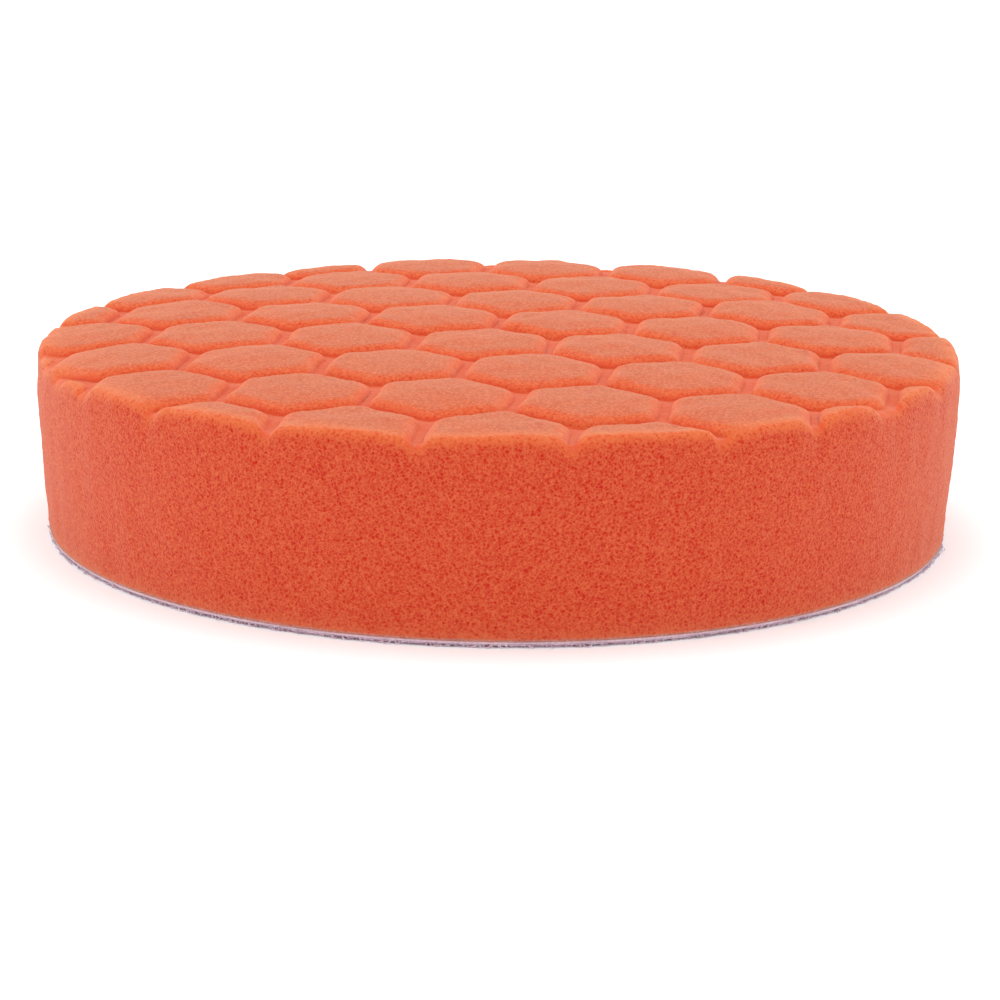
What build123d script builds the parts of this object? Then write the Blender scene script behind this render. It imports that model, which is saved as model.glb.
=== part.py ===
from build123d import *
from math import cos, radians, sin, sqrt
import os

# Foam polishing pad for a machine with a hook-faced backing plate, in millimetres.
# The origin is the centre of the loop face that grips the plate; +Z points to the working face.

# outline of the foam
face_diameter = 152.4  # nominal 6 inch, across the working face
back_diameter = 148.6  # across the back: the side leans in towards the plate
rim_height = 29.6  # groove floors at the rim, above the loop face
crown = 1.8  # how much higher the groove floors stand at the centre
rim_drop = 1.5  # how far below the groove floors the rim's rounding begins
rim_rounding = 1.3  # how far the side has curved in where it meets the pillows' tops

# layers of the back, from the plate up
pile_thickness = 0.6  # brushed loops
cloth_thickness = 0.4  # knitted ground that the loops are rooted in
film_thickness = 0.2  # hot-melt film that joins cloth and foam
pile_setback = 0.5  # each layer stops this far inside the back of the foam
cloth_setback = 0.2
film_setback = 0.6

# hexagonal pillows that the hot press leaves standing on the face
pillow_pitch = 22.1  # centre to centre, across the flats
row_angle = -8.3  # degrees from +X to a row of pillows
first_pillow = (-2.7, -11.2)  # the pillow centre nearest to the pad's axis
groove_width = 2.0  # between two pillows, at the groove's floor
pillow_height = 1.8  # above the groove floors
corner_radius = 2.6  # of a pillow's six corners, seen from above
shoulder_radius = 1.2  # between its top and its walls
pillow_root = 1.5  # how far its solid runs down into the foam under it
least_piece = 1.0  # cubic mm; a smaller sliver of a pillow at the rim is left off

back_height = pile_thickness + cloth_thickness + film_thickness
face_radius = face_diameter / 2
back_radius = back_diameter / 2
crown_radius = (face_radius**2 + crown**2) / (2 * crown)  # the crowned face is part of a ball
crown_centre = rim_height + crown - crown_radius
pad_height = rim_height + crown + pillow_height


def disc(radius, low, high):
    return Pos(0, 0, low) * Cylinder(radius, high - low, align=(Align.CENTER, Align.CENTER, Align.MIN))


def foam_envelope():
    """Round block with the leaning side and the rounded rim, as tall as the highest pillow."""
    widest = (face_radius, rim_height - rim_drop)
    edge = (face_radius - rim_rounding, rim_height + pillow_height)
    side = Polyline((0, back_height), (back_radius, back_height), widest)
    rounding = TangentArc(widest, edge, tangent=(0, 1))
    top = Polyline(edge, (edge[0], pad_height), (0, pad_height), (0, back_height))
    return revolve(Plane.XZ * make_face([*side.edges(), *rounding.edges(), *top.edges()]), Axis.Z)


def pillow():
    """One pillow about its own axis, with its groove floor at height zero and a flat facing +X."""
    outline = RegularPolygon((pillow_pitch - groove_width) / 2, 6, major_radius=False, rotation=30)
    section = fillet(outline.vertices(), corner_radius)
    block = Pos(0, 0, -pillow_root) * extrude(section, pillow_root + pillow_height)
    return fillet(block.faces().sort_by(Axis.Z)[-1].edges(), shoulder_radius)


def pillow_places():
    """A location for every pillow that reaches the pad, square to the crowned face and turned to its row."""
    turn, next_turn = radians(row_angle), radians(row_angle + 60)
    rows = round(face_diameter / pillow_pitch)
    reach = face_radius + pillow_pitch / sqrt(3)
    places = []
    for i in range(-rows, rows + 1):
        for j in range(-rows, rows + 1):
            x = first_pillow[0] + pillow_pitch * (i * cos(turn) + j * cos(next_turn))
            y = first_pillow[1] + pillow_pitch * (i * sin(turn) + j * sin(next_turn))
            if x * x + y * y > reach**2:
                continue
            up = sqrt(crown_radius**2 - x * x - y * y)  # from the ball's centre to its skin
            row = (cos(turn), sin(turn), -(x * cos(turn) + y * sin(turn)) / up)
            places.append(Plane(origin=(x, y, crown_centre + up), x_dir=row, z_dir=(x, y, up)).location)
    return places


def foam_body():
    """The foam: a crowned core below the groove floors, with the pillows standing on it."""
    envelope = foam_envelope()
    core = envelope & Pos(0, 0, crown_centre) * Sphere(crown_radius)
    one = pillow()
    standing = [(place * one) & envelope for place in pillow_places()]
    whole = core.fuse(*[piece for piece in standing if piece.volume > least_piece])
    return whole.clean()


def build():
    cloth_top = pile_thickness + cloth_thickness
    return {
        "foam_body": foam_body(),
        "adhesive_film": disc(back_radius - film_setback, cloth_top, back_height),
        "backing_cloth": disc(back_radius - cloth_setback, pile_thickness, cloth_top),
        "loop_pile": disc(back_radius - pile_setback, 0, pile_thickness),
    }


os.makedirs("parts", exist_ok=True)
for node, shape in build().items():
    export_step(shape, f"parts/{node}.step")
    size = shape.bounding_box().size
    print(node, "volume", round(shape.volume), "mm3, size", [round(v, 2) for v in size])
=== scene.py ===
import math
import bpy
import numpy as np
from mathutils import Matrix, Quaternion, Vector


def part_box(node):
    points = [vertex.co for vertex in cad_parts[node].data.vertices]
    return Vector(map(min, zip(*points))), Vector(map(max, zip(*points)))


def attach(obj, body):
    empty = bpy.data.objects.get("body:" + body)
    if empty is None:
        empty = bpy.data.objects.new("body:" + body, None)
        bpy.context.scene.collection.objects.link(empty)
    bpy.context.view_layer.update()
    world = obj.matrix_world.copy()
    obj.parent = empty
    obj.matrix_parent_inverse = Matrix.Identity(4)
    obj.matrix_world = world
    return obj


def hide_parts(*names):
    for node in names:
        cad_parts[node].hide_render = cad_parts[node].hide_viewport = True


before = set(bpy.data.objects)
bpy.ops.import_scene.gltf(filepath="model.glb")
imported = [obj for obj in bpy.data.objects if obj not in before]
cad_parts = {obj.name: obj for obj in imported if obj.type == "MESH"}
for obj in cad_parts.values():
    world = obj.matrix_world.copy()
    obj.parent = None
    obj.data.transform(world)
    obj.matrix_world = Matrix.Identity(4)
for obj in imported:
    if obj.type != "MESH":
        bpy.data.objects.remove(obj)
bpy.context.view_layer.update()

# a foam polishing pad with pressed hexagonal pillows, lying on its loop fabric; lengths in metres
mm = 0.001
foamLow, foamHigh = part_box("foam_body")
filmLow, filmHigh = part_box("adhesive_film")
clothLow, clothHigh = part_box("backing_cloth")
pileLow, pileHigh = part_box("loop_pile")


def halfWidth(low, high):
    return (high[0] - low[0]) / 2


padRadius, clothRadius = halfWidth(foamLow, foamHigh), halfWidth(clothLow, clothHigh)
filmRadius, pileRadius = halfWidth(filmLow, filmHigh), halfWidth(pileLow, pileHigh)


# modelling helpers

def editMode(kind):
    bpy.ops.object.mode_set(mode="EDIT")
    bpy.ops.mesh.select_mode(type=kind)


def objectMode():
    bpy.ops.object.mode_set(mode="OBJECT")


def deselectAll():
    if bpy.context.mode != "OBJECT":
        objectMode()
    bpy.ops.object.select_all(action="DESELECT")


def pickOnly(*pieces):
    deselectAll()
    for piece in pieces:
        piece.select_set(True)
    bpy.context.view_layer.objects.active = pieces[0]


def readPoints(mesh, what="co"):
    points = np.empty(len(mesh.vertices) * 3)
    mesh.vertices.foreach_get(what, points)
    return points.reshape(-1, 3)


def writePoints(mesh, points):
    mesh.vertices.foreach_set("co", np.ascontiguousarray(points).ravel())
    mesh.update()


def readEnds(mesh):
    ends = np.empty(len(mesh.edges) * 2, dtype=np.int32)
    mesh.edges.foreach_get("vertices", ends)
    return ends.reshape(-1, 2)


def readFlow(mesh, name):
    values = np.empty(len(mesh.vertices))
    mesh.attributes[name].data.foreach_get("value", values)
    return values


def writeFlow(mesh, name, values):
    flow = mesh.attributes.get(name) or mesh.attributes.new(name, "FLOAT", "POINT")
    flow.data.foreach_set("value", np.ascontiguousarray(values, dtype=np.float32))


def pickPoints(mesh, chosen):
    faces = mesh.polygons
    mesh.vertices.foreach_set("select", chosen)
    mesh.edges.foreach_set("select", chosen[readEnds(mesh)].all(axis=1))
    faces.foreach_set("select", [bool(chosen[list(face.vertices)].all()) for face in faces])


def pickNone(mesh):
    for parts in (mesh.vertices, mesh.edges, mesh.polygons):
        parts.foreach_set("select", np.zeros(len(parts), dtype=bool))


def pickEdges(mesh, chosen):
    pickNone(mesh)
    mesh.edges.foreach_set("select", chosen)


def dropLoose():
    bpy.ops.mesh.select_mode(type="VERT")
    bpy.ops.mesh.select_all(action="SELECT")
    bpy.ops.mesh.delete_loose()


def pickRim():
    bpy.ops.mesh.select_all(action="DESELECT")
    bpy.ops.mesh.select_non_manifold(extend=False, use_wire=False, use_multi_face=False,
                                     use_non_contiguous=False, use_verts=False)


def ripple(points, size, seed, waves=14):
    # smooth waves of about the wavelength "size", mostly from -1 to 1
    dice = np.random.default_rng(seed)
    total = np.zeros(len(points))
    for _ in range(waves):
        way = dice.normal(size=3)
        pace = 2 * math.pi / size * dice.uniform(0.6, 1.7)
        total += np.sin(points @ (way / np.linalg.norm(way)) * pace + dice.uniform(0, 2 * math.pi))
    return total / math.sqrt(waves)


def circleOf(points):
    return np.arctan2(points[:, 1], points[:, 0]), np.hypot(points[:, 0], points[:, 1])


def onCircle(far, angle, height):
    return np.stack([far * np.cos(angle), far * np.sin(angle), height], axis=1)


# shader helpers

class Wire:
    def __init__(self, socket):
        self.socket, self.tree = socket, socket.id_data

    def node(self, kind, settings=None, sockets=None, out=0):
        made = self.tree.nodes.new(kind)
        for name, value in (settings or {}).items():
            setattr(made, name, value)
        for name, value in (sockets or {}).items():
            if isinstance(value, Wire):
                self.tree.links.new(value.socket, made.inputs[name])
            else:
                made.inputs[name].default_value = value
        return Wire(made.outputs[out])

    def maths(self, operation, *values):
        return self.node("ShaderNodeMath", {"operation": operation}, dict(enumerate(values)))

    def __add__(self, other):
        return self.maths("ADD", self, other)

    def __sub__(self, other):
        return self.maths("SUBTRACT", self, other)

    def __mul__(self, other):
        return self.maths("MULTIPLY", self, other)

    def __rsub__(self, other):
        return self.maths("SUBTRACT", other, self)

    __radd__ = __add__
    __rmul__ = __mul__

    def smooth(self, low, high):
        sockets = {"Value": self, "From Min": low, "From Max": high}
        return self.node("ShaderNodeMapRange", {"interpolation_type": "SMOOTHSTEP"}, sockets)

    def blend(self, first, second):
        # first where this value is 0, second where it is 1
        sockets = {0: self, 6: first, 7: second}
        return self.node("ShaderNodeMix", {"data_type": "RGBA"}, sockets, out=2)

    def noise(self, scale, detail=2.0, roughness=0.5):
        sockets = {"Vector": self, "Scale": scale, "Detail": detail, "Roughness": roughness}
        return self.node("ShaderNodeTexNoise", None, sockets)

    def cells(self, scale, feature="F1"):
        sockets = {"Vector": self, "Scale": scale}
        return self.node("ShaderNodeTexVoronoi", {"feature": feature}, sockets)

    def flow(self, name):
        return self.node("ShaderNodeAttribute", {"attribute_name": name}, out=2)

    def sine(self):
        return self.maths("SINE", self)

    def bump(self, strength, distance):
        sockets = {"Strength": strength, "Distance": distance, "Height": self}
        return self.node("ShaderNodeBump", None, sockets)

    def feeds(self, shader, socket):
        self.tree.links.new(self.socket, shader.inputs[socket])


def colour(red, green, blue):
    # a display colour of 0 to 255 as the linear value that shaders use
    shares = [c / 255 for c in (red, green, blue)]
    linear = [c / 12.92 if c <= 0.04045 else ((c + 0.055) / 1.055) ** 2.4 for c in shares]
    return (*linear, 1.0)


def newMaterial(name, constants):
    # the material, its shader, and the place on the piece that patterns start from
    material = bpy.data.materials.new(name)
    material.use_nodes = True
    tree = material.node_tree
    shader = tree.nodes["Principled BSDF"]
    for socket, value in constants.items():
        shader.inputs[socket].default_value = value
    return material, shader, Wire(tree.nodes.new("ShaderNodeTexCoord").outputs["Object"])


# the foam, one pressed hexagonal cell first

foam = {
    "pitch": 22.1 * mm,  # centre to centre of two pillows
    "rowAngle": math.radians(-8.3),
    "firstPillow": (-2.7 * mm, -11.2 * mm),
    "rimHeight": 29.6 * mm,  # groove floors at the rim
    "crown": 1.8 * mm,  # how much higher they stand in the middle
    "backRadius": clothRadius + 0.2 * mm,
    "lip": 0.19 * mm,  # how far the cut edge hangs over the glue film
    "lipThickness": 0.2 * mm,
    # rings of points on a cell's share of the groove floor, from the cell's border inwards
    "floorInsets": [0, 0.35 * mm, 0.62 * mm, 0.75 * mm],
    "shoulderRings": 9,
    "topRings": 11,
    "shoulder": 2.1 * mm,  # how far the pillow's side curves in
    "shoulderRise": 1.3 * mm,
    "shoulderCurve": 0.82,  # 1 for a quarter of an ellipse, less for a foot that leans in
    "bulge": 0.5 * mm,  # how much higher a pillow's middle is than its shoulder
    # how sharp a cell's corners are at its border, its foot, its crest and its middle
    "corners": [70.0, 22.0, 14.0, 6.0],
    "rowsEachWay": 9,  # of pillows, more than the pad needs
    "weld": 0.02 * mm,  # points nearer than this are one, where cells meet
    "reach": padRadius - 0.2 * mm,  # at the widest, a little below the rim
    "tuck": 0.8 * mm,  # how far the side draws in again over its top part
    "tuckHeight": 8.0 * mm,
    "shortest": 0.3 * mm,  # edges at the rim that are shorter go
    "evening": 4,  # passes that even out the steps along the rim
    "rounding": 1.0 * mm,  # at the rim, seen from above
    "roundingDrop": 1.8 * mm,
    "roundingRows": 7,
    "rows": 60,  # rows of faces down the side, the rounded ones among them
    "unevenness": 0.05,  # share by which pillows differ in height
    "tilt": 3.0,  # the same across one pillow, per metre
    "sliverFrom": 6.5 * mm,  # pillows whose middles lie this far off the pad begin to flatten
    "sliverTo": 9.5 * mm,  # and here they are flat
    "waver": 0.16 * mm,  # how far the grooves wander sideways
    "waverLength": 15 * mm,
    "slump": 0.15 * mm,  # the face lies lower on the left
    "droop": 0.65 * mm,  # and hangs a little towards both sides
    "swells": [(130, -0.5 * mm), (82, 0.35 * mm)],  # along the rim: degrees and rise
    "swellWidth": 22,  # degrees
    "sagFrom": 0.7,  # share of the radius from which all of these grow outwards
    # waves over the skin: height, wavelength and number of waves
    "skinWaves": [(0.13 * mm, 30 * mm, 14), (0.07 * mm, 8 * mm, 14), (0.035 * mm, 2.4 * mm, 30)],
    "seed": 11,
}
rimRadius = foam["reach"] - foam["tuck"] - foam["rounding"]


def hexReach(angle, sharpness):
    # how far a hexagon with rounded corners and a half width of 1 reaches in each direction
    facing = np.cos(angle[:, None] - np.radians(np.arange(0, 360, 60)))
    return (np.maximum(facing, 0) ** sharpness[:, None]).sum(axis=1) ** (-1 / sharpness)


def makeCell():
    # rings of points are counted from the cell's border inwards
    floor = len(foam["floorInsets"]) - 1
    crest = floor + foam["shoulderRings"]
    rings = crest + foam["topRings"]
    corner = foam["pitch"] / math.sqrt(3)
    deselectAll()
    bpy.ops.mesh.primitive_circle_add(vertices=6, radius=corner, fill_type="TRIFAN")
    cell = bpy.context.object
    editMode("VERT")
    bpy.ops.mesh.select_all(action="SELECT")
    bpy.ops.mesh.subdivide(number_cuts=rings - 1)
    objectMode()
    points = readPoints(cell.data)
    angle, far = circleOf(points)
    flats = np.radians(np.arange(0, 360, 60))
    across = (points[:, :1] * np.cos(flats) + points[:, 1:2] * np.sin(flats)).max(axis=1)
    border = foam["pitch"] / 2
    ring = np.rint(rings * (1 - across / border))
    turn = np.clip((ring - floor) / foam["shoulderRings"], 0, 1) * math.pi / 2
    floorHalf = border - foam["floorInsets"][-1]
    crestHalf = floorHalf - foam["shoulder"]
    onFloor = border - np.interp(ring, range(floor + 1), foam["floorInsets"])
    curve = foam["shoulderCurve"] * (1 - np.cos(turn))
    curve += (1 - foam["shoulderCurve"]) * turn / (math.pi / 2)
    onShoulder = floorHalf - foam["shoulder"] * curve
    onTop = crestHalf * (rings - ring) / foam["topRings"]
    half = np.select([ring <= floor, ring <= crest], [onFloor, onShoulder], onTop)
    sharpness = np.interp(ring, [1, floor, crest, rings], foam["corners"])
    reach = np.where(ring > 0, half * hexReach(angle, sharpness), far)
    inset = np.clip((floorHalf - half) / floorHalf, 0, 1)
    rise = foam["shoulderRise"] * np.sin(turn) + foam["bulge"] * (1 - (1 - inset) ** 2)
    writePoints(cell.data, onCircle(reach, angle, rise))
    return cell


def pillowPlaces():
    first, turn = foam["firstPillow"], foam["rowAngle"]
    reach = padRadius + foam["pitch"] / math.sqrt(3)
    steps = range(-foam["rowsEachWay"], foam["rowsEachWay"] + 1)
    places = [(first[0] + foam["pitch"] * (i * math.cos(turn) + j * math.cos(turn + math.pi / 3)),
               first[1] + foam["pitch"] * (i * math.sin(turn) + j * math.sin(turn + math.pi / 3)))
              for i in steps for j in steps]
    return [place for place in places if math.hypot(*place) < reach]


def joinCells(cell):
    dice = np.random.default_rng(foam["seed"])
    base = readPoints(cell.data)
    cosTurn, sinTurn = math.cos(foam["rowAngle"]), math.sin(foam["rowAngle"])
    cells = []
    for x, y in pillowPlaces():
        copy = bpy.data.objects.new("cell", cell.data.copy())
        bpy.context.collection.objects.link(copy)
        lean = 1 + dice.normal(0, foam["unevenness"])
        lean = lean + base[:, :2] @ dice.normal(0, foam["tilt"], 2)
        beyond = math.hypot(x, y) - padRadius
        whole = (foam["sliverTo"] - beyond) / (foam["sliverTo"] - foam["sliverFrom"])
        placed = [x + base[:, 0] * cosTurn - base[:, 1] * sinTurn,
                  y + base[:, 0] * sinTurn + base[:, 1] * cosTurn,
                  base[:, 2] * lean * min(max(whole, 0), 1)]
        writePoints(copy.data, np.stack(placed, axis=1))
        cells.append(copy)
    bpy.data.objects.remove(cell)
    pickOnly(*cells)
    bpy.ops.object.join()
    pad = bpy.context.object
    editMode("VERT")
    bpy.ops.mesh.select_all(action="SELECT")
    bpy.ops.mesh.remove_doubles(threshold=foam["weld"])
    objectMode()
    return pad


def crownFace(pad):
    # the wandering grooves, the crowned face and its sag towards the rim
    points = readPoints(pad.data)
    angle, far = circleOf(points)
    flat = points * (1, 1, 0)
    for axis in (0, 1):
        wander = ripple(flat, foam["waverLength"], foam["seed"] + 10 + axis)
        points[:, axis] += foam["waver"] * wander
    outward = np.clip((far / padRadius - foam["sagFrom"]) / (1 - foam["sagFrom"]), 0, 1) ** 1.5
    sag = foam["slump"] * np.cos(angle) - foam["droop"] * np.cos(angle) ** 2
    for middle, rise in foam["swells"]:
        sag += rise * np.exp(-((np.degrees(angle) - middle) / foam["swellWidth"]) ** 2)
    crown = foam["crown"] * (1 - (far / padRadius) ** 2)
    points[:, 2] += foam["rimHeight"] + crown + sag * outward
    writePoints(pad.data, points)


def trimRound(pad):
    # points nearest to the cutting circle move onto it, and all beyond go
    mesh = pad.data
    points, ends = readPoints(mesh), readEnds(mesh)
    _, far = circleOf(points)
    off = far - rimRadius
    first, second = ends[(off[ends[:, 0]] < 0) != (off[ends[:, 1]] < 0)].T
    onRim = np.zeros(len(points), dtype=bool)
    onRim[np.where(abs(off[first]) < abs(off[second]), first, second)] = True
    points[onRim, :2] *= (rimRadius / far[onRim])[:, None]
    writePoints(mesh, points)
    writeFlow(mesh, "drop", np.where(onRim, 1.0, 0.0))
    pickOnly(pad)
    pickPoints(mesh, (off > 0) & ~onRim)
    editMode("VERT")
    bpy.ops.mesh.delete(type="VERT")
    objectMode()
    pickPoints(mesh, readFlow(mesh, "drop") > 0.5)
    editMode("FACE")
    bpy.ops.mesh.delete(type="FACE")
    dropLoose()
    pickRim()
    bpy.ops.mesh.select_mode(type="VERT")
    bpy.ops.mesh.dissolve_degenerate(threshold=foam["shortest"])
    dropLoose()
    bpy.ops.mesh.select_mode(type="EDGE")
    pickRim()
    objectMode()
    spaceRim(mesh)


def walkRim(mesh):
    # the points along the selected edges in their order, anticlockwise seen from above
    chosen = np.zeros(len(mesh.edges), dtype=bool)
    mesh.edges.foreach_get("select", chosen)
    beside = {}
    for a, b in readEnds(mesh)[chosen]:
        beside.setdefault(a, []).append(b)
        beside.setdefault(b, []).append(a)
    order, last = [next(iter(beside))], None
    while len(order) < len(beside):
        ahead = next(point for point in beside[order[-1]] if point != last)
        last = order[-1]
        order.append(ahead)
    order = np.array(order)
    angle = np.unwrap(circleOf(readPoints(mesh)[order])[0])
    return (order, angle) if angle[-1] > angle[0] else (order[::-1], angle[::-1])


def spaceRim(mesh):
    # evens out the small steps along the rim, so that no two points change places
    order, angle = walkRim(mesh)
    points = readPoints(mesh)
    even = np.arange(len(order)) * 2 * math.pi / len(order)
    off = angle - even
    for _ in range(foam["evening"]):
        off = (np.roll(off, 1) + 2 * off + np.roll(off, -1)) / 4
    angle = even + off
    points[order] = onCircle(rimRadius, angle, points[order, 2])
    writePoints(mesh, points)
    smallest = float(np.diff(angle).min() * rimRadius / mm)
    print("rim:", len(order), "points, smallest step", round(smallest, 3), "mm")


def wrapSide(pad):
    # the side is drawn down from the rim, then the lip's thickness, then the flat back
    mesh, bottom = pad.data, foamLow[2] - foam["lip"]
    writeFlow(mesh, "drop", np.zeros(len(mesh.vertices)))
    pickOnly(pad)
    editMode("EDGE")
    pickRim()
    bpy.ops.mesh.extrude_edges_move()
    objectMode()
    points, drop = readPoints(mesh), readFlow(mesh, "drop")
    order, angle = walkRim(mesh)
    even = np.arange(len(order)) * 2 * math.pi / len(order)
    even += (angle - even).mean()
    points[order] = onCircle(foam["backRadius"], even, np.full(len(order), bottom))
    writePoints(mesh, points)
    drop[order] = 1
    writeFlow(mesh, "drop", drop)
    ends = readEnds(mesh)
    pickEdges(mesh, drop[ends[:, 0]] != drop[ends[:, 1]])
    editMode("EDGE")
    bpy.ops.mesh.subdivide(number_cuts=foam["rows"] - 1)
    objectMode()
    shapeSide(mesh)
    editMode("EDGE")
    pickRim()
    bpy.ops.mesh.extrude_edges_move()
    objectMode()
    points, inner = readPoints(mesh), walkRim(mesh)[0]
    points[inner, :2] *= 1 - foam["lipThickness"] / foam["backRadius"]
    points[inner, 2] = foamLow[2]
    writePoints(mesh, points)
    editMode("EDGE")
    bpy.ops.mesh.edge_face_add()
    bpy.ops.mesh.poke()
    bpy.ops.mesh.select_all(action="SELECT")
    bpy.ops.mesh.normals_make_consistent(inside=False)
    objectMode()


def shapeSide(mesh):
    # a rounded rim above a side that leans in to the back and is tucked in a little at its top
    points, drop = readPoints(mesh), readFlow(mesh, "drop")
    angle, _ = circleOf(points)
    row = np.rint(drop * foam["rows"])
    inner = (row > 0) & (row < foam["rows"])
    bottom = foamLow[2] - foam["lip"]
    rimHeight = np.where(inner, (points[:, 2] - drop * bottom) / np.where(inner, 1 - drop, 1), 0)
    turn = np.clip(row / foam["roundingRows"], 0, 1) * math.pi / 2
    fall = np.clip((row - foam["roundingRows"]) / (foam["rows"] - foam["roundingRows"]), 0, 1)
    height = (1 - fall) * (rimHeight - foam["roundingDrop"] * (1 - np.cos(turn))) + fall * bottom
    widest = foam["rimHeight"] - foam["roundingDrop"]
    lean = np.clip((height - bottom) / (widest - bottom), 0, 1)
    tuck = foam["tuck"] * np.clip(1 - (rimHeight - height) / foam["tuckHeight"], 0, 1) ** 2
    wide = foam["backRadius"] + (foam["reach"] - foam["backRadius"]) * lean
    wide -= tuck + foam["rounding"] * (1 - np.sin(turn))
    points[inner] = onCircle(wide, angle, height)[inner]
    writePoints(mesh, points)


def pillowDistance(points):
    # how far inside its pillow's outline each point lies, seen from above; below 0 in the grooves
    turn = -foam["rowAngle"]
    x, y = points[:, 0] - foam["firstPillow"][0], points[:, 1] - foam["firstPillow"][1]
    x, y = x * math.cos(turn) - y * math.sin(turn), x * math.sin(turn) + y * math.cos(turn)
    j = y / (foam["pitch"] * math.sqrt(3) / 2)
    i = x / foam["pitch"] - j / 2
    inside = np.full(len(points), -1.0)
    for di in (0, 1):
        for dj in (0, 1):
            ci, cj = np.floor(i) + di, np.floor(j) + dj
            cx, cy = foam["pitch"] * (ci + cj / 2), foam["pitch"] * math.sqrt(3) / 2 * cj
            angle = np.arctan2(y - cy, x - cx)
            sharpness = np.full(len(points), foam["corners"][1])
            wide = np.hypot(x - cx, y - cy) / hexReach(angle, sharpness)
            inside = np.maximum(inside, foam["pitch"] / 2 - foam["floorInsets"][-1] - wide)
    return inside


def roughen(pad):
    # waves over the skin, all but its bottom edge
    mesh = pad.data
    points, normals, drop = readPoints(mesh), readPoints(mesh, "normal"), readFlow(mesh, "drop")
    swell = np.zeros(len(points))
    for step, (height, length, waves) in enumerate(foam["skinWaves"]):
        swell += height * ripple(points, length, foam["seed"] + 20 + step, waves)
    writePoints(mesh, points + normals * (swell * (drop < 0.999))[:, None])


foamMarks = {
    "grooveEdge": 0.25 * mm,  # the groove's colour reaches this far up a pillow's foot
    "grooveFade": 0.4 * mm,
    "creaseWidth": 0.3 * mm,
    "slopeGain": 1.6,
    "cutRow": 3.5,  # the row of faces below the rim where the pressed skin ends
    "cutFade": 3.5,  # rows from skin to cut side, 1 row at a groove's end
    "edgeWidth": 1.6 * mm,  # of the painted highlight along the rim, on the face
    "edgeRow": 2,  # the row of faces where the painted highlight is strongest
    "edgeRows": 3.5,  # and its width in rows, down the side
    "lowHeight": 1.0 * mm,  # how far up the side the glue's paler tone reaches
}


def markFoam(pad):
    # what the material reads: groove floors, the creases beside them for painted shade, slopes for
    # painted shading and pore openness, side, rim for a painted highlight, low edge
    mesh = pad.data
    points, normals, drop = readPoints(mesh), readPoints(mesh, "normal"), readFlow(mesh, "drop")
    angle, far = circleOf(points)
    row = drop * foam["rows"]
    onFace = row < 0.5
    inside = pillowDistance(onCircle(np.where(onFace, far, rimRadius), angle, points[:, 2]))
    nearRim = 1 - np.clip(row - foamMarks["cutRow"], 0, 1)
    groove = np.clip((foamMarks["grooveEdge"] - inside) / foamMarks["grooveFade"], 0, 1) * nearRim
    belowCut = row - foamMarks["cutRow"] + 0.5 - groove * 0.5
    cutFade = foamMarks["cutFade"] - (foamMarks["cutFade"] - 1) * groove
    # how steeply the face tilts; it sets a painted shading, lighter and redder on steep faces, and
    # how open the pores are
    slopeShadingAndPores = foamMarks["slopeGain"] * np.hypot(normals[:, 0], normals[:, 1])
    sideways = (row - foamMarks["edgeRow"]) / foamMarks["edgeRows"]
    fromEdge = np.where(onFace, (rimRadius - far) / foamMarks["edgeWidth"], sideways)
    above = points[:, 2] - foamLow[2] + foam["lip"]
    writeFlow(mesh, "groove", groove)
    # a narrow band along each pillow's foot, where shade is painted
    writeFlow(mesh, "creaseShade", np.exp(-(inside / foamMarks["creaseWidth"]) ** 2) * nearRim)
    writeFlow(mesh, "slopeShadingAndPores", np.where(onFace, np.clip(slopeShadingAndPores, 0, 1), 1))
    writeFlow(mesh, "side", np.clip(belowCut / cutFade, 0, 1))
    # where the highlight along the rounded rim is painted
    writeFlow(mesh, "edge", np.exp(-fromEdge ** 2) * (1 - groove))
    writeFlow(mesh, "low", np.exp(-above / foamMarks["lowHeight"]) * (row > 1))


def makeFoam():
    cell = makeCell()
    pad = joinCells(cell)
    crownFace(pad)
    trimRound(pad)
    wrapSide(pad)
    roughen(pad)
    markFoam(pad)
    pad.name = pad.data.name = "foamPad"
    pickOnly(pad)
    bpy.ops.object.shade_smooth()
    return pad


foamLook = {
    # painted shading: the tops darker and duller, the steep faces lighter and redder
    "top": colour(160, 60, 23),
    "slopeShadingAndPores": colour(204, 86, 44),
    "groove": colour(196, 80, 50),
    # painted shade in the fold at a pillow's foot
    "creaseShade": colour(212, 70, 38),
    "side": colour(185, 53, 29),
    # painted highlight along the rounded rim
    "edge": colour(200, 98, 46),
    "hole": colour(182, 20, 7),
    "strut": colour(206, 98, 62),
    "fuzz": colour(206, 116, 74),
    "low": colour(204, 116, 78),
    "glue": colour(206, 174, 172),
    "cell": 0.58 * mm,  # from one pore to the next
    # repeats per metre
    "grain": 2100,
    "specks": 1900,
    "clouds": 260,
    "patches": 38,
    "warp": 1500,
    "warpBy": 0.45 * mm,  # how far pores are pulled out of their round shape
    "bump": 0.4,
    "bumpDepth": 0.18 * mm,
}


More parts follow.
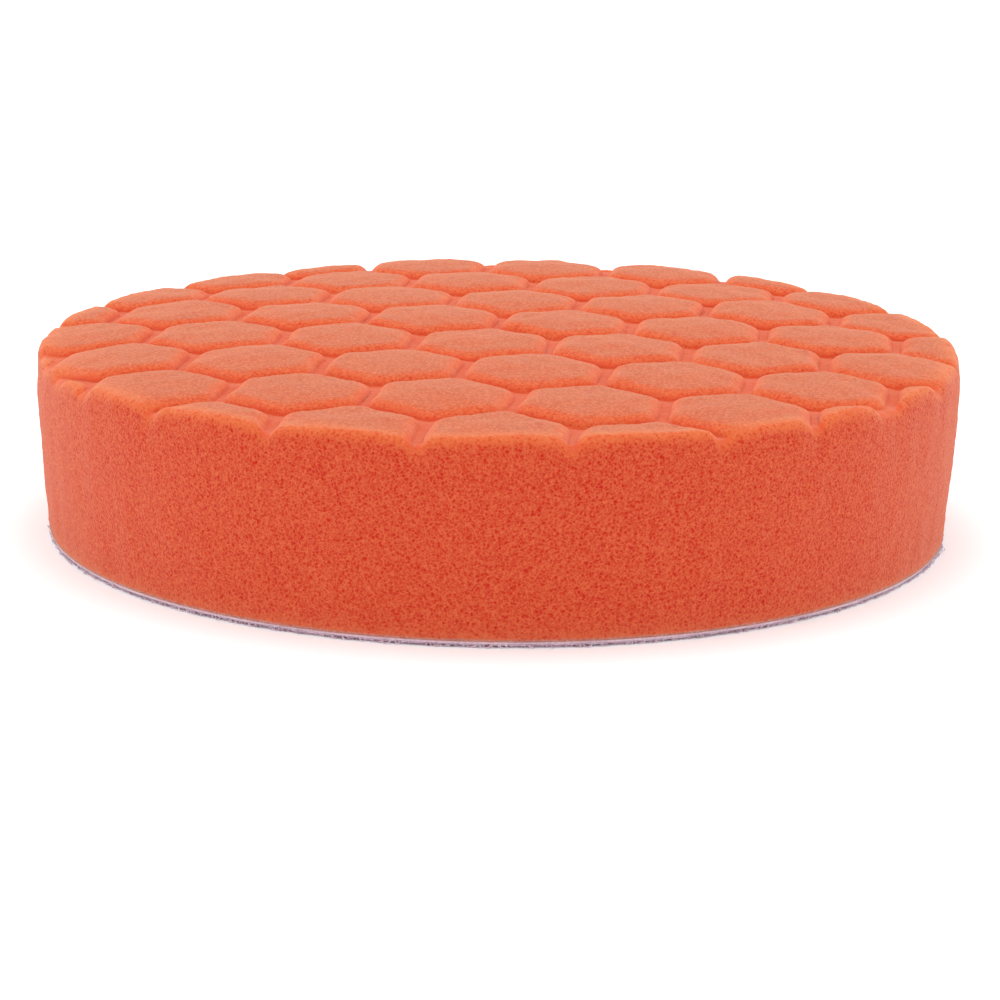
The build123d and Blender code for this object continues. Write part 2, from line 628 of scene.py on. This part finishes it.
def paintFoam():
    material, shader, where = newMaterial("openCellFoam", {
        "Roughness": 0.9, "Specular IOR Level": 0.1, "Sheen Weight": 0.24, "Sheen Roughness": 0.5,
        "Sheen Tint": (0.74, 0.82, 0.64, 1.0), "Subsurface Weight": 0.3,
        "Subsurface Radius": (1.0, 0.2, 0.1), "Subsurface Scale": 1.0 * mm})
    flows = [where.flow(name) for name in ("groove", "creaseShade", "slopeShadingAndPores", "side", "edge", "low")]
    groove, creaseShade, slopeShadingAndPores, side, edge, low = flows

    # pores and struts, on places that are warped a little
    density = 1 / foamLook["cell"]
    warp = where.node("ShaderNodeTexNoise", None,
                      {"Vector": where, "Scale": foamLook["warp"], "Detail": 1.0}, out=1)
    bent = warp.node("ShaderNodeVectorMath", {"operation": "MULTIPLY_ADD"},
                     {0: warp, 1: (foamLook["warpBy"],) * 3, 2: where})
    size = bent.node("ShaderNodeTexVoronoi", None, {"Vector": bent, "Scale": density}, out=1)
    holes = 1 - (bent.cells(density) + size * 0.25).smooth(0.12, 0.68)
    wideHoles = 1 - bent.cells(density * 0.45).smooth(0.08, 0.34)
    struts = 1 - bent.cells(density * 1.25, "DISTANCE_TO_EDGE").smooth(0.0, 0.22)
    openness = slopeShadingAndPores * 0.35 + side * 0.45 + 0.2
    grain = where.noise(foamLook["grain"], 3, 0.75)
    cloudy = where.noise(foamLook["clouds"], 3, 0.6)
    patchy = where.noise(foamLook["patches"], 2)
    specks = 1 - where.cells(foamLook["specks"]).smooth(0.2, 0.6)

    # each part's tone
    # painted shading: steep faces lighter and redder than the tops
    tone = slopeShadingAndPores.blend(foamLook["top"], foamLook["slopeShadingAndPores"])
    tone = side.blend(tone, foamLook["side"])
    tone = (groove * 0.85).blend(tone, foamLook["groove"])
    # painted highlight: a paler tan band along the rounded rim
    tone = (edge * 0.8 * cloudy.smooth(0.25, 0.55)).blend(tone, foamLook["edge"])
    tone = (low * 0.9 * cloudy.smooth(0.2, 0.55)).blend(tone, foamLook["low"])
    tone = (low.smooth(0.62, 0.92) * grain.smooth(0.3, 0.6)).blend(tone, foamLook["glue"])

    # light grain, dark grain and fuzz, then struts and pores over all
    tone = (grain.smooth(0.45, 0.7) * (0.6 - groove * 0.5)).blend(tone, foamLook["strut"])
    tone = ((1 - grain).smooth(0.5, 0.7) * (0.45 - groove * 0.4)).blend(tone, foamLook["side"])
    tone = (specks * (0.5 - side * 0.35) * (1 - groove)).blend(tone, foamLook["fuzz"])
    tone = (struts * openness * grain.smooth(0.25, 0.55) * 0.8).blend(tone, foamLook["strut"])
    depth = (holes * 0.95 + wideHoles * 0.35) * openness * (patchy * 0.4 + 0.8)
    tone = (depth * (1 - groove) * (1 - low * 0.7)).blend(tone, foamLook["hole"])
    # painted shade: a darker, redder line along each pillow's foot
    tone = (creaseShade * (1 - side) * 0.4).blend(tone, foamLook["creaseShade"])
    tone.feeds(shader, "Base Color")
    height = (struts * 0.5 - holes - wideHoles * 0.4) * openness
    height = height + grain * (0.6 - groove * 0.4) + cloudy * 0.4
    height.bump(foamLook["bump"], foamLook["bumpDepth"]).feeds(shader, "Normal")
    return material


pad = makeFoam()
pad.data.materials.append(paintFoam())
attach(pad, "root")
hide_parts("foam_body")
print("foam pad:", len(pad.data.vertices), "points")


# the laminated back: glue film, knitted ground, matted pile and its loops

back = {
    "edgeSteps": 720,  # points around each layer's edge
    "softened": 0.12 * mm,  # width of the bevel on it
    "smoothAngle": math.radians(50),
    # widths of the rings of faces on a layer's flats, from the edge inwards
    "insets": [width * mm for width in (0.5, 1, 2, 4, 8, 16, 24)],
    "ragged": 0.12 * mm,  # how far an edge wanders in and out
    "edgeWaves": [(9 * mm, 0.6), (1.8 * mm, 0.4)],  # wavelength and share of it
    "raggedBand": 3 * mm,  # how far from the edge that begins
    "filmOver": 0.3 * mm,  # what each layer's radius has over its CAD disc before it wanders in
    "clothOver": 0.2 * mm,
    "matOver": 0.2 * mm,
    "matThickness": 0.28 * mm,
    "loopRadius": 0.46 * mm,
    "yarnRadius": 0.085 * mm,
    "rooted": 0.1 * mm,  # how far a loop's ends reach above the middle of its ring
    "loopMiddle": 0.52 * mm,  # height of the middle of a loop's ring
    "clearance": 0.002 * mm,  # no loop reaches lower than this
    "loopWidths": (0.7, 1.5),
    "loopHeights": (0.85, 1.05),
    "loopLean": 0.5,
    "fieldStep": 1.8 * mm,  # between the loops under the pad
    "fieldInset": 1.0 * mm,
    "fieldScatter": 0.4,  # share of a step
    "edgeLoops": 820,  # loops in one turn along the edge
    "edgeTurns": 3,
    "edgeTurnStep": 0.5 * mm,
    "edgeReach": 0.05 * mm,  # how far the outer turn's middle line stands over the CAD disc
    "edgeScatter": 0.12 * mm,
    "edgeAngleScatter": 0.004,
    "seed": 5,
}


def makeLayer(name, radius, low, high, seed):
    # a thin closed disc with a softened, slightly ragged edge
    deselectAll()
    bpy.ops.mesh.primitive_cylinder_add(vertices=back["edgeSteps"], radius=radius, depth=high - low,
                                        end_fill_type="NGON", location=(0, 0, (low + high) / 2))
    layer = bpy.context.object
    bpy.ops.object.transform_apply(location=True, rotation=True, scale=True)
    layer.name = layer.data.name = name
    mesh = layer.data
    points = readPoints(mesh)
    ends = readEnds(mesh)
    pickEdges(mesh, points[ends[:, 0], 2] == points[ends[:, 1], 2])
    editMode("EDGE")
    softened = min(back["softened"], (high - low) * 0.35)
    bpy.ops.mesh.bevel(offset=softened, segments=2, affect="EDGES")
    objectMode()
    caps = [abs(face.normal.z) > 0.99 and len(face.vertices) > 4 for face in mesh.polygons]
    pickNone(mesh)
    mesh.polygons.foreach_set("select", caps)
    editMode("FACE")
    for width in back["insets"]:
        bpy.ops.mesh.inset(thickness=width)
    bpy.ops.mesh.poke()
    objectMode()
    points = readPoints(mesh)
    angle, far = circleOf(points)
    nearEdge = np.clip(1 - (radius - far) / back["raggedBand"], 0, 1)
    flat = points * (1, 1, 0)
    wander = np.zeros(len(points))
    for step, (length, share) in enumerate(back["edgeWaves"]):
        wander += share * ripple(flat, length, seed + step)
    far += back["ragged"] * (wander - 0.6) * nearEdge
    writePoints(mesh, onCircle(far, angle, points[:, 2]))
    bpy.ops.object.shade_smooth_by_angle(angle=back["smoothAngle"])
    return layer


def makeLoop():
    # a little over half a ring of yarn, hanging down, its ends closed
    deselectAll()
    bpy.ops.mesh.primitive_torus_add(major_segments=8, minor_segments=3,
                                     major_radius=back["loopRadius"],
                                     minor_radius=back["yarnRadius"], rotation=(math.pi / 2, 0, 0))
    loop = bpy.context.object
    bpy.ops.object.transform_apply(location=True, rotation=True, scale=True)
    editMode("FACE")
    bpy.ops.mesh.select_all(action="SELECT")
    bpy.ops.mesh.bisect(plane_co=(0, 0, back["rooted"]), plane_no=(0, 0, 1), clear_outer=True,
                        use_fill=True)
    objectMode()
    return loop


def plantLoops(name, columns, rows, places, dice):
    # copies one loop into a grid and then sets each copy down at its own place
    loop = makeLoop()
    count = len(loop.data.vertices)
    spread = 4 * back["loopRadius"]
    for axis, number in ((0, columns), (1, rows)):
        grid = loop.modifiers.new("grid", "ARRAY")
        grid.use_relative_offset, grid.use_constant_offset = False, True
        grid.constant_offset_displace = Vector([spread if i == axis else 0 for i in range(3)])
        grid.count = number
        bpy.ops.object.modifier_apply(modifier="grid")
    mesh = loop.data
    copies = readPoints(mesh).reshape(rows, columns, count, 3)
    copies[..., 0] -= spread * np.arange(columns)[None, :, None]
    copies[..., 1] -= spread * np.arange(rows)[:, None, None]
    copies = copies.reshape(-1, count, 3)
    number = len(copies)
    turn = dice.uniform(0, 2 * math.pi, (number, 1))
    lean = dice.normal(0, back["loopLean"], (number, 1))
    wide = dice.uniform(*back["loopWidths"], (number, 1))
    tall = dice.uniform(*back["loopHeights"], (number, 1))
    x, y, z = copies[..., 0] * wide, copies[..., 1], copies[..., 2] * tall
    y = y + z * np.sin(lean)
    placed = np.stack([x * np.cos(turn) - y * np.sin(turn) + places[:, :1],
                       x * np.sin(turn) + y * np.cos(turn) + places[:, 1:2],
                       np.maximum(z + back["loopMiddle"], back["clearance"])], axis=-1)
    writePoints(mesh, placed.reshape(-1, 3))
    loop.name = mesh.name = name
    return loop, count


def makeFieldLoops():
    dice = np.random.default_rng(back["seed"])
    reach = pileRadius - back["fieldInset"]
    side = math.ceil(2 * reach / back["fieldStep"]) + 1
    steps = (np.arange(side) - (side - 1) / 2) * back["fieldStep"]
    places = np.stack(np.meshgrid(steps, steps), axis=-1).reshape(-1, 2)
    scatter = back["fieldScatter"]
    places = places + dice.uniform(-scatter, scatter, places.shape) * back["fieldStep"]
    field, count = plantLoops("loopField", side, side, places, dice)
    beyond = np.repeat(np.hypot(*places.T) > reach, count)
    pickPoints(field.data, beyond)
    editMode("VERT")
    bpy.ops.mesh.delete(type="VERT")
    objectMode()
    return field


def makeEdgeLoops():
    dice = np.random.default_rng(back["seed"] + 1)
    number, turns = back["edgeLoops"], back["edgeTurns"]
    scatter = back["edgeAngleScatter"]
    angle = np.tile(np.arange(number) / number * 2 * math.pi, turns)
    angle = angle + dice.uniform(-scatter, scatter, number * turns)
    inwards = np.repeat(np.arange(turns), number) * back["edgeTurnStep"]
    far = pileRadius + back["edgeReach"] - inwards
    far = far + dice.normal(0, back["edgeScatter"], number * turns)
    places = onCircle(far, angle, np.zeros(len(far)))
    edge, _ = plantLoops("edgeLoops", number, turns, places, dice)
    return edge


# looks of the back, with patterns from bubbles to patches as repeats per metre

filmLook = {"clear": colour(206, 122, 96), "bubble": colour(216, 170, 164), "bubbles": 900,
            "streaks": 140}


def paintFilm():
    material, shader, where = newMaterial("hotMeltFilm", {
        "Roughness": 0.4, "Specular IOR Level": 0.5, "Subsurface Weight": 0.3,
        "Subsurface Scale": 0.5 * mm})
    bubbles = where.cells(filmLook["bubbles"]).smooth(0.15, 0.4)
    streaks = where.noise(filmLook["streaks"], 4, 0.6)
    tone = (streaks * 0.5 + bubbles * 0.3).blend(filmLook["bubble"], filmLook["clear"])
    tone.feeds(shader, "Base Color")
    (streaks * 0.5 + bubbles).bump(0.4, 0.06 * mm).feeds(shader, "Normal")
    return material


clothLook = {"yarn": colour(216, 200, 213), "gap": colour(184, 154, 174),
             "haze": colour(212, 150, 134), "hazeHeight": 0.3 * mm, "fibres": 5200, "wear": 60,
             "wale": 0.9 * mm, "coursesPerWale": 1.4}


def paintCloth():
    # rows of knitted stitches and fibres, a little worn, hazed by the glue along their top
    material, shader, where = newMaterial("knittedGround", {
        "Roughness": 0.85, "Specular IOR Level": 0.2, "Sheen Weight": 0.4, "Sheen Roughness": 0.5})
    parts = where.node("ShaderNodeSeparateXYZ", None, {0: where})
    x, y, z = (Wire(socket) for socket in parts.socket.node.outputs)
    pace = 2 * math.pi / clothLook["wale"]
    wales, courses = (x * pace).sine(), (y * (pace * clothLook["coursesPerWale"])).sine()
    stitches = (wales * courses * 0.5 + 0.5).smooth(0.1, 0.9)
    fibres = where.noise(clothLook["fibres"], 3, 0.7)
    wear = where.noise(clothLook["wear"], 3)
    tone = (stitches * 0.35 + fibres * 0.65).blend(clothLook["gap"], clothLook["yarn"])
    tone = (wear.smooth(0.55, 0.8) * 0.3).blend(tone, clothLook["gap"])
    glued = z.smooth(clothHigh[2] - clothLook["hazeHeight"], clothHigh[2]) * (fibres * 0.8 + 0.2)
    glued.blend(tone, clothLook["haze"]).feeds(shader, "Base Color")
    (stitches + fibres * 0.6).bump(0.6, 0.12 * mm).feeds(shader, "Normal")
    return material


pileLook = {"pale": colour(228, 212, 222), "deep": colour(184, 132, 154), "filaments": 9000,
            "tangles": 900, "patches": 45}


def paintPile():
    # brushed nylon yarn: fine filaments with tangles of deeper tone
    material, shader, where = newMaterial("loopPileYarn", {
        "Roughness": 0.7, "Specular IOR Level": 0.35, "Sheen Weight": 0.5, "Sheen Roughness": 0.4})
    filaments = where.noise(pileLook["filaments"], 2, 0.6)
    tangles = where.noise(pileLook["tangles"], 4, 0.7)
    patches = where.noise(pileLook["patches"], 3)
    shade = tangles.smooth(0.35, 0.65) * 0.5 + filaments * 0.3 + patches * 0.2
    shade.blend(pileLook["deep"], pileLook["pale"]).feeds(shader, "Base Color")
    (filaments * 0.5 + tangles).bump(0.7, 0.1 * mm).feeds(shader, "Normal")
    return material


film = makeLayer("adhesiveFilm", filmRadius + back["filmOver"], filmLow[2], filmHigh[2], 41)
film.data.materials.append(paintFilm())
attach(film, "root")
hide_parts("adhesive_film")

cloth = makeLayer("knittedBacking", clothRadius + back["clothOver"], clothLow[2], clothHigh[2], 43)
cloth.data.materials.append(paintCloth())
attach(cloth, "root")
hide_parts("backing_cloth")

pileYarn = paintPile()
matLow = pileHigh[2] - back["matThickness"]
mat = makeLayer("pileMat", pileRadius + back["matOver"], matLow, pileHigh[2], 47)
fieldLoops = makeFieldLoops()
edgeLoops = makeEdgeLoops()
for piece in (mat, fieldLoops, edgeLoops):
    piece.data.materials.append(pileYarn)
    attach(piece, "root")
    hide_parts("loop_pile")
for piece in (film, cloth, mat, fieldLoops, edgeLoops):
    print(piece.name, len(piece.data.polygons), "faces")


# floor, light and camera, in metres and watts

studio = {
    "floor": 4.0,
    "floorTone": (0.95, 0.95, 0.95, 1),
    "sky": 1.3,
    # name, place, width and power of each lamp; all point at the pad
    "lamps": [("topLight", (0, 0.15, 1.0), 0.9, 2.7),
              ("leftLight", (-0.9, -0.1, 0.35), 0.5, 0.55),
              ("rightLight", (0.9, -0.1, 0.35), 0.5, 0.1)],
    "target": (0.505 * mm, 0.0, 3.09 * mm),
    "distance": 494.0 * mm,
    "elevation": math.radians(14.317),
    "roll": math.radians(0.749),
    "lens": 105.96,
}


def addFloor():
    deselectAll()
    bpy.ops.mesh.primitive_plane_add(size=studio["floor"])
    floor = bpy.context.object
    floor.name = "floor"
    floor.data.materials.append(newMaterial("paleFloor", {
        "Base Color": studio["floorTone"], "Roughness": 1.0, "Specular IOR Level": 0.0})[0])


def addSky():
    world = bpy.data.worlds.new("studio")
    world.use_nodes = True
    sky = world.node_tree.nodes["Background"]
    sky.inputs["Color"].default_value = (1, 1, 1, 1)
    sky.inputs["Strength"].default_value = studio["sky"]
    bpy.context.scene.world = world


def addLamp(name, place, width, power):
    deselectAll()
    bpy.ops.object.light_add(type="AREA", location=place)
    lamp = bpy.context.object
    lamp.name = name
    lamp.data.shape = "DISK"
    lamp.data.size = width
    lamp.data.energy = power
    lamp.rotation_euler = (-Vector(place)).to_track_quat("-Z", "Y").to_euler()


def addCamera():
    deselectAll()
    bpy.ops.object.camera_add()
    camera = bpy.context.object
    away = Vector((0, -math.cos(studio["elevation"]), math.sin(studio["elevation"])))
    camera.location = Vector(studio["target"]) + away * studio["distance"]
    facing = (-away).to_track_quat("-Z", "Y") @ Quaternion((0, 0, 1), studio["roll"])
    camera.rotation_euler = facing.to_euler()
    camera.data.lens = studio["lens"]
    camera.data.clip_start = 0.01
    bpy.context.scene.camera = camera


addFloor()
addSky()
for lampValues in studio["lamps"]:
    addLamp(*lampValues)
addCamera()
bpy.context.scene.view_settings.view_transform = "Standard"
print("stage: studio")
